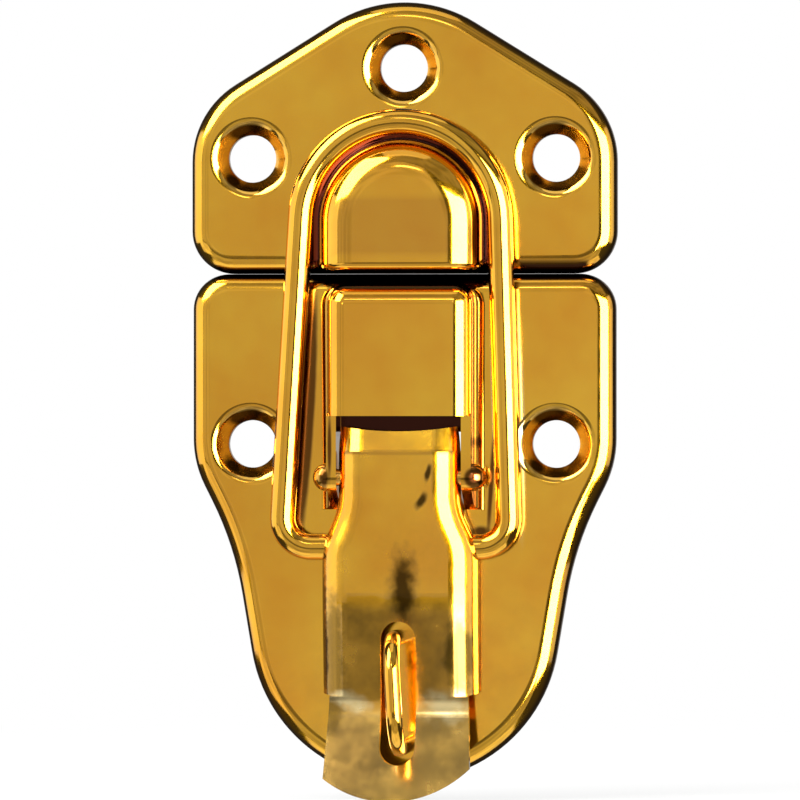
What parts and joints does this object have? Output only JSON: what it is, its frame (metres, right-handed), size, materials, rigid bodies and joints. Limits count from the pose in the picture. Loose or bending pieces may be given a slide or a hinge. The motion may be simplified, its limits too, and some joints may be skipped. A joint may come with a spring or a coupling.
{
  "type": "cabinet catch",
  "caption": "Toggle catch of pressed sheet: a lever and wire bail on one plate pull the domed hook of the other, with a padlock eye through the lever.",
  "frame": {"origin": "midway between the base plate's two screw holes, on the mounting plane", "axes": "+Z from the lever's tab to the strike plate, -Y out of the mounting surface, +X to the right from the front"},
  "size_m": [0.035, 0.0124, 0.0651],
  "materials": {
    "plate_brass": "bright brass plating on pressed steel",
    "lever_brass": "bright brass plating on pressed steel",
    "wire_brass": "bright brass plating on drawn wire",
    "rivet_brass": "bright brass plating on a rivet"
  },
  "bodies": {
    "base": {"base_plate": "plate_brass", "lever_pivot_pin": "rivet_brass", "padlock_staple": "wire_brass"},
    "lever": {"lever": "lever_brass"},
    "bail": {"bail": "wire_brass"},
    "strike": {"strike_plate": "plate_brass"}
  },
  "joints": [
    {"name": "lever_swing", "type": "hinge", "parent": "base", "child": "lever", "pos_m": [0, -0.0046, -0.0027], "axis": [-1, 0, 0], "range_deg": [0, 135]},
    {"name": "bail_swing", "type": "hinge", "parent": "lever", "child": "bail", "pos_m": [0, -0.0039, -0.0084], "axis": [-1, 0, 0], "range_deg": [-270, 0]},
    {"name": "strike_lift", "type": "slide", "parent": "base", "child": "strike", "axis": [0, 0, 1], "range_m": [0, 0.006]}
  ],
  "couplings": [
    {"joint": "bail_swing", "follows": "lever_swing", "ratio": -2},
    {"joint": "strike_lift", "follows": "lever_swing", "m_per_rad": 0.0025}
  ]
}
